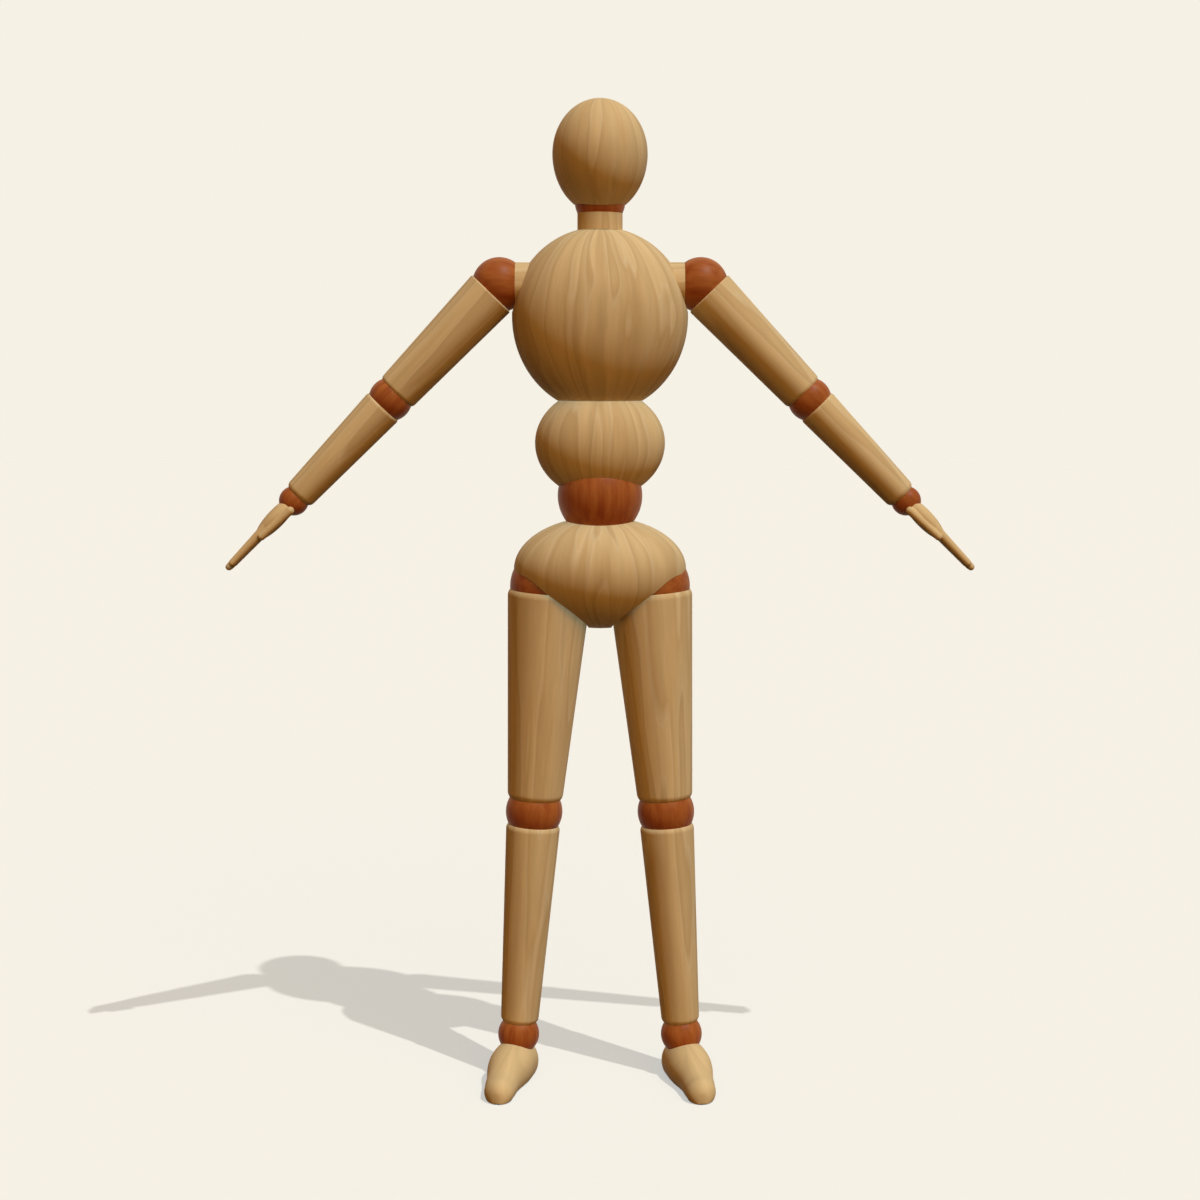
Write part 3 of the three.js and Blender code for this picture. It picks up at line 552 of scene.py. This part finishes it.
NECK_BALL = 7.6 * MM
POST_RIM = 3.46 * MM
HEAD = {"half_width": 14.3 * MM, "half_depth": 16.4 * MM, "up": 16.4 * MM, "down": 17.8 * MM}
HEAD_RISE = 14.1 * MM
HEAD_PLAY = 0.33 * MM
CUP_STEPS = 12

head_middle = neck + HEAD_RISE * UP
post_foot = neck_seat.z - neck.z + SNUG


def cupped_dowel(name, middle, axis, radius, rim, bore, foot, cup):
    """A bored dowel that ends in a cup round the middle. foot is the height of its other end, and
    the rim stands that far below the middle."""
    rim_at = math.degrees(math.asin(rim / cup))
    bore_at = math.degrees(math.acos(bore / cup))
    outline = [(bore, foot), (radius, foot), (radius, -rim)]
    outline += arc(0, 0, cup, -rim_at, -bore_at, CUP_STEPS)
    return turn(name, outline, middle, axis)


post = cupped_dowel("turned_neck_post", neck, UP, POST_RADIUS, POST_RIM, SPRING_BORE, post_foot,
                    NECK_BALL + SNUG)
finish(post, "neck_post",
       turned_beech("oiled_beech_neck_post", neck, UP, girth=POST_RADIUS, wander=1 * MM))
finish(bead("turned_neck_ball", neck, UP, NECK_BALL), "neck_ball",
       stained_beech("stained_beech_neck_ball", neck, UP))
head = egg("turned_head", head_middle, **HEAD)
cut(head, round_cutter(neck, NECK_BALL + HEAD_PLAY))
finish(head, "head",
       turned_beech("oiled_beech_head", head_middle, UP, girth=15 * MM, wander=4 * MM))


# Limbs
# Eight tapered rods of pale beech, turned between centres, bored through for the spring and
# cupped at both ends for the balls. Their ends are rounded over, but the tops of the arms are
# left nearly square.

LIMB_BORE = 2.45 * MM
LIMB_WANDER = 1.5 * MM
BALLS = {"shoulder": 8.27 * MM, "elbow": 6.6 * MM, "wrist": 4.5 * MM,
         "hip": HIP_BALL, "knee": 8.75 * MM, "ankle": 6.4 * MM}
JOINT_NAMES = {"shoulder": "arm_swing", "elbow": "elbow_bend", "wrist": "wrist_bend",
               "hip": "leg_swing", "knee": "knee_bend", "ankle": "foot_pitch"}

# The upper ball and end of each limb, then the lower ones. An end is its radius, the rounding of
# its edge, and how far it stops short of the ball's middle.
LIMBS = {
    "upper_arm": ("shoulder", (7.95 * MM, 0.5 * MM, 3.6 * MM),
                  "elbow", (6.5 * MM, 1.6 * MM, 2.4 * MM)),
    "forearm": ("elbow", (6.2 * MM, 1.4 * MM, 2.6 * MM),
                "wrist", (4.9 * MM, 2.2 * MM, 1.6 * MM)),
    "thigh": ("hip", (THIGH_TOP_RADIUS, THIGH_ROUNDING, THIGH_TOP_DROP),
              "knee", (THIGH_FOOT_RADIUS, 3 * MM, 3.1 * MM)),
    "shin": ("knee", (8.3 * MM, 2.4 * MM, 3.3 * MM),
             "ankle", (5.9 * MM, 2.2 * MM, 3.6 * MM)),
}

ball_at = {(side, ball): joint_at[f"{side}_{joint}"]
           for side in ("left", "right") for ball, joint in JOINT_NAMES.items()}


def limb_end(radius, rounding, end, cup):
    """The outline of a limb's end, from its wall round the edge and through the cup to the bore,
    as radius and distance from the ball's middle, all in metres."""
    round_r, round_h = radius - rounding, end + rounding
    reach = math.hypot(round_r, round_h)
    along = (cup ** 2 - rounding ** 2 + reach ** 2) / (2 * reach)
    aside = math.sqrt(max(cup ** 2 - along ** 2, 0))
    rim_r = (along * round_r + aside * round_h) / reach
    rim_h = (along * round_h - aside * round_r) / reach
    rim_at = math.degrees(math.atan2(rim_h - round_h, rim_r - round_r))
    if rim_at < -90 or rim_at > 0:
        rim_at = -90
        rim_r, rim_h = math.sqrt(cup ** 2 - end ** 2), end
    edge = arc(round_r, round_h, rounding, 0, rim_at, 10)
    cup_at = math.degrees(math.atan2(rim_h, rim_r))
    bore_at = math.degrees(math.acos(LIMB_BORE / cup))
    return edge + arc(0, 0, cup, cup_at, bore_at, 14)


def limb(name, upper, lower, top, top_ball, foot, foot_ball):
    """A limb from its upper ball to its lower one."""
    length = (lower - upper).length
    above = limb_end(*top, top_ball + SNUG)
    below = limb_end(*foot, foot_ball + SNUG)
    outline = [(r, -h) for r, h in reversed(above)] + [(r, h - length) for r, h in below]
    return turn(name, outline, upper, (upper - lower).normalized())


for side in ("left", "right"):
    for part, (upper, top, lower, foot) in LIMBS.items():
        start, end = ball_at[side, upper], ball_at[side, lower]
        piece = limb(f"turned_{side}_{part}", start, end, top, BALLS[upper], foot, BALLS[lower])
        wood = turned_beech(f"oiled_beech_{side}_{part}", start, start - end, girth=top[0],
                            wander=LIMB_WANDER)
        finish(piece, f"{side}_{part}", wood)


# Limb balls
# Beads of beech stained like the waist ball. Those of elbow, wrist, knee and ankle have a
# straight bore in line with the limb. The wire bends inside those of shoulder and hip.

PAST_THE_SKIN = 1.05


def bent_drill(start, corner, end, radius):
    """A drill along a smooth bend from start past a corner to end."""
    select_only()
    bpy.ops.curve.primitive_bezier_curve_add()
    path = bpy.context.object
    points = path.data.splines[0].bezier_points
    for point, place in zip(points, (start, end)):
        point.handle_left_type = point.handle_right_type = "FREE"
        point.co = place
        point.handle_left = point.handle_right = place.lerp(corner, 2 / 3)
    path.data.bevel_depth = radius
    path.data.use_fill_caps = True
    bpy.ops.object.convert(target="MESH")
    tool = take_new("cutter")
    bpy.ops.object.mode_set(mode="EDIT")
    bpy.ops.mesh.select_all(action="SELECT")
    bpy.ops.mesh.remove_doubles(threshold=MERGE_WITHIN)
    bpy.ops.mesh.normals_make_consistent(inside=False)
    select_only(tool)
    return tool


for side in ("left", "right"):
    for upper, ball in (("shoulder", "elbow"), ("elbow", "wrist"), ("hip", "knee"),
                        ("knee", "ankle")):
        middle = ball_at[side, ball]
        axis = (ball_at[side, upper] - middle).normalized()
        piece = bead(f"turned_{side}_{ball}_ball", middle, axis, BALLS[ball])
        finish(piece, f"{side}_{ball}_ball",
               stained_beech(f"stained_beech_{side}_{ball}_ball", middle, axis))
    for ball, lower in (("shoulder", "elbow"), ("hip", "knee")):
        middle = ball_at[side, ball]
        inwards = Vector((-math.copysign(1, middle.x), 0, 0))
        limbwards = (ball_at[side, lower] - middle).normalized()
        piece = ball_block(f"turned_{side}_{ball}_ball", middle, BALLS[ball])
        reach = PAST_THE_SKIN * BALLS[ball]
        cut(piece, bent_drill(middle + inwards * reach, middle, middle + limbwards * reach,
                              WIRE_BORE))
        finish(piece, f"{side}_{ball}_ball",
               stained_beech(f"stained_beech_{side}_{ball}_ball", middle, inwards))


# Shoulder pegs
# Short turned dowels of pale beech that stick out of the chest and end in a cup for the shoulder
# ball. They turn in their holes when an arm swings.

PEG_RIM = 4.9 * MM

for side, shoulder in shoulders.items():
    outwards = Vector((math.copysign(1, shoulder.x), 0, 0))
    peg = cupped_dowel(f"turned_{side}_shoulder_peg", shoulder, outwards, PEG_RADIUS, PEG_RIM,
                       WIRE_BORE, -PEG_LENGTH, BALLS["shoulder"] + SNUG)
    wood = turned_beech(f"oiled_beech_{side}_shoulder_peg", shoulder, outwards,
                        girth=PEG_RADIUS, wander=1 * MM)
    finish(peg, f"{side}_shoulder_peg", wood)


# Hands
# Each is cut from one strip of beech as a mitten with four joined fingers, a thumb along the
# front edge, and a cup for the wrist ball. The edges are sanded round.

ARM_LIFT = math.radians(44)
PALM = {"half_width": 2.75 * MM, "half_depth": 5.2 * MM, "up": 9 * MM, "down": 9 * MM}
FINGER_SPACING = 2.07 * MM
FINGER_OUT = 0.35 * MM
FINGER_ROOT_DOWN = 10 * MM
FINGER_ROOT_RADIUS = 1.6 * MM
FINGER_TIP_RADIUS = 1.1 * MM
THUMB_LEAN = math.radians(4)
THUMB_ROOT_DOWN = 1.3 * MM
THUMB_ROOT_RADIUS = 1.3 * MM
THUMB_TIP_RADIUS = 1.15 * MM
THUMB_LENGTH = 14.2 * MM
HAND_VOXEL = 0.16 * MM
FAINT_FIGURE = 0.12

# The place of each finger in spacings from the middle of the hand, and its length.
FINGERS = ((-1.5, 27.5 * MM), (-0.5, 29.4 * MM), (0.5, 29.2 * MM), (1.5, 28.2 * MM))

# Millimetres to the left, back and up from the wrist, for a left hand that hangs down.
PALM_MIDDLE = Vector((0.25, 0, -7.5))
THUMB_ROOT = Vector((-1.63, -4.5, -1.1))


def finger(root, line, root_down, root_radius, length, tip_radius):
    """A finger or thumb with round ends, hanging from its root."""
    outline = arc(0, tip_radius - length, tip_radius, -90, 0, 8)
    outline += arc(0, -root_down, root_radius, 0, 90, 8)
    return turn("cutter", outline, root, line)


for side, way_out in (("left", 1), ("right", -1)):
    wrist = ball_at[side, "wrist"]
    to_side = Vector((way_out, 1, 1))
    hand = egg(f"carved_{side}_hand", PALM_MIDDLE * to_side * MM, **PALM)
    for place, length in FINGERS:
        root = Vector((way_out * FINGER_OUT, place * FINGER_SPACING, 0))
        combine(hand, finger(root, UP, FINGER_ROOT_DOWN, FINGER_ROOT_RADIUS, length,
                             FINGER_TIP_RADIUS), "UNION")
    thumb_line = Vector((-way_out * math.sin(THUMB_LEAN), 0, math.cos(THUMB_LEAN)))
    combine(hand, finger(THUMB_ROOT * to_side * MM, thumb_line, THUMB_ROOT_DOWN,
                         THUMB_ROOT_RADIUS, THUMB_LENGTH, THUMB_TIP_RADIUS), "UNION")
    sanding = hand.modifiers.new("sanding", "REMESH")
    sanding.mode = "VOXEL"
    sanding.voxel_size = HAND_VOXEL
    select_only(hand)
    bpy.ops.object.modifier_apply(modifier=sanding.name)
    bpy.ops.object.mode_set(mode="EDIT")
    bpy.ops.mesh.select_all(action="SELECT")
    bpy.ops.mesh.vertices_smooth(factor=0.5, repeat=3)
    select_only(hand)
    hand.rotation_euler.y = -way_out * ARM_LIFT
    hand.location = wrist
    bpy.ops.object.transform_apply(location=True, rotation=True, scale=True)
    cut(hand, round_cutter(wrist, BALLS["wrist"] + SNUG))
    along = (ball_at[side, "elbow"] - wrist).normalized()
    wood = turned_beech(f"carved_beech_{side}_hand", wrist, along, girth=6 * MM, wander=1 * MM,
                        figure=FAINT_FIGURE)
    finish(hand, f"{side}_hand", wood)


# Feet
# Each is shaped from a block of beech: a rounded heel, a high instep with the cup for the ankle
# ball, and a blunt toe. The sole is sanded flat, and the feet point a little outwards.

HEEL_REACH = 8.8 * MM
FOOT_LENGTH = 38.15 * MM
TOES_OUT = math.radians(10.8)
HEEL_ROUNDING = 7.6 * MM
TOE_ROUNDING = 5.3 * MM
FOOT_BOW = 1.2 * MM
SOLE_EDGE = 0.4 * MM
FOOT_STEPS = 48
END_PLAY = 0.15 * MM
END_HEIGHT = 0.35
WIDEST_AT = 0.36

# Half the width, and the height, in millimetres at distances from the heel.
WIDTHS = ((0, 6.1), (14.5, 6.9), (28.2, 5), (33.2, 4.6))
HEIGHTS = ((0, 10.5), (11.4, 11.8), (33.2, 6.8))


def smooth_between(stops, at):
    """A size that runs smoothly from stop to stop, for a distance from the heel, in metres."""
    at /= MM
    for (start, low), (end, high) in zip(stops, stops[1:]):
        if at <= end or end == stops[-1][0]:
            share = min(max((at - start) / (end - start), 0), 1)
            return (low + (high - low) * share * share * (3 - 2 * share)) * MM


def rounded_end(distance, rounding):
    """How full an end is, for a distance from its tip."""
    return math.sqrt(1 - max(0, 1 - distance / rounding) ** 2)


for side, way_out in (("left", 1), ("right", -1)):
    ankle = ball_at[side, "ankle"]
    select_only()
    bpy.ops.mesh.primitive_circle_add(vertices=64, radius=MM, fill_type="NGON",
                                      rotation=(math.pi / 2, 0, 0))
    foot = take_new(f"carved_{side}_foot")
    bpy.ops.object.mode_set(mode="EDIT")
    bpy.ops.mesh.select_all(action="SELECT")
    middle, half_width, half_height = Vector(), MM, MM
    for step in range(FOOT_STEPS + 1):
        passed = (1 - math.cos(step * math.pi / FOOT_STEPS)) / 2
        reach = END_PLAY + passed * (FOOT_LENGTH - 2 * END_PLAY)
        full = rounded_end(reach, HEEL_ROUNDING) * rounded_end(FOOT_LENGTH - reach, TOE_ROUNDING)
        height = smooth_between(HEIGHTS, reach) * (END_HEIGHT + (1 - END_HEIGHT) * full)
        bow = way_out * FOOT_BOW * math.sin(math.pi * reach / FOOT_LENGTH)
        new_middle = Vector((bow, HEEL_REACH - reach, WIDEST_AT * height))
        new_half_width = smooth_between(WIDTHS, reach) * full
        new_half_height = (1 - WIDEST_AT) * height
        if step:
            bpy.ops.mesh.extrude_region_move(
                TRANSFORM_OT_translate={"value": new_middle - middle})
        else:
            bpy.ops.transform.translate(value=new_middle - middle)
        bpy.ops.transform.resize(center_override=new_middle, value=(
            new_half_width / half_width, 1, new_half_height / half_height))
        middle, half_width, half_height = new_middle, new_half_width, new_half_height
    bpy.ops.mesh.select_all(action="SELECT")
    bpy.ops.mesh.normals_make_consistent(inside=False)
    bpy.ops.mesh.bisect(plane_co=(0, 0, 0), plane_no=(0, 0, 1), use_fill=True, clear_inner=True)
    bpy.ops.mesh.bevel(offset=SOLE_EDGE, segments=3, affect="EDGES")
    select_only(foot)
    foot.rotation_euler.z = way_out * TOES_OUT
    foot.location = (ankle.x, ankle.y, 0)
    bpy.ops.object.transform_apply(location=True, rotation=True, scale=True)
    cut(foot, round_cutter(ankle, BALLS["ankle"] + SNUG))
    toes = Vector((way_out * math.sin(TOES_OUT), -math.cos(TOES_OUT), 0))
    wood = turned_beech(f"carved_beech_{side}_foot", ankle, toes, girth=9 * MM, wander=1.5 * MM,
                        figure=FAINT_FIGURE)
    finish(foot, f"{side}_foot", wood)


# Wires and springs
# Bright spring steel wire, drawn through a die and coiled cold. It runs in the bores of the blocks
# and shows only in a bent joint, so the solids are used as they are.

DRAW_MARKS = 0.3 * MM

# Drawing leaves fine marks that soften the shine. They are laid coarser than real ones, to show.
steel = bpy.data.materials.new("drawn_spring_steel")
steel.use_nodes = True
tree = steel.node_tree
shader = tree.nodes["Principled BSDF"]
shader.inputs["Metallic"].default_value = 1.0
on_object = add_node(tree, "ShaderNodeTexCoord").outputs["Object"]
draw_marks = add_node(tree, "ShaderNodeTexNoise", {"noise_dimensions": "3D"}, {
    "Vector": on_object, "Scale": 1 / DRAW_MARKS, "Detail": 2.0})
grey = add_node(tree, "ShaderNodeValToRGB", inputs={"Fac": draw_marks.outputs["Fac"]})
grey.color_ramp.elements[0].color = (*linear(0x9A9C9E), 1)
grey.color_ramp.elements[1].color = (*linear(0xB9BBBD), 1)
tree.links.new(grey.outputs["Color"], shader.inputs["Base Color"])
worn = add_node(tree, "ShaderNodeMapRange", inputs={
    "Value": draw_marks.outputs["Fac"], "To Min": 0.25, "To Max": 0.45})
tree.links.new(worn.outputs[0], shader.inputs["Roughness"])
for name, node in frame["nodes"].items():
    if name.endswith(("_link", "_spring", "_rod", "_hanger")):
        node.data.materials.clear()
        node.data.materials.append(steel)
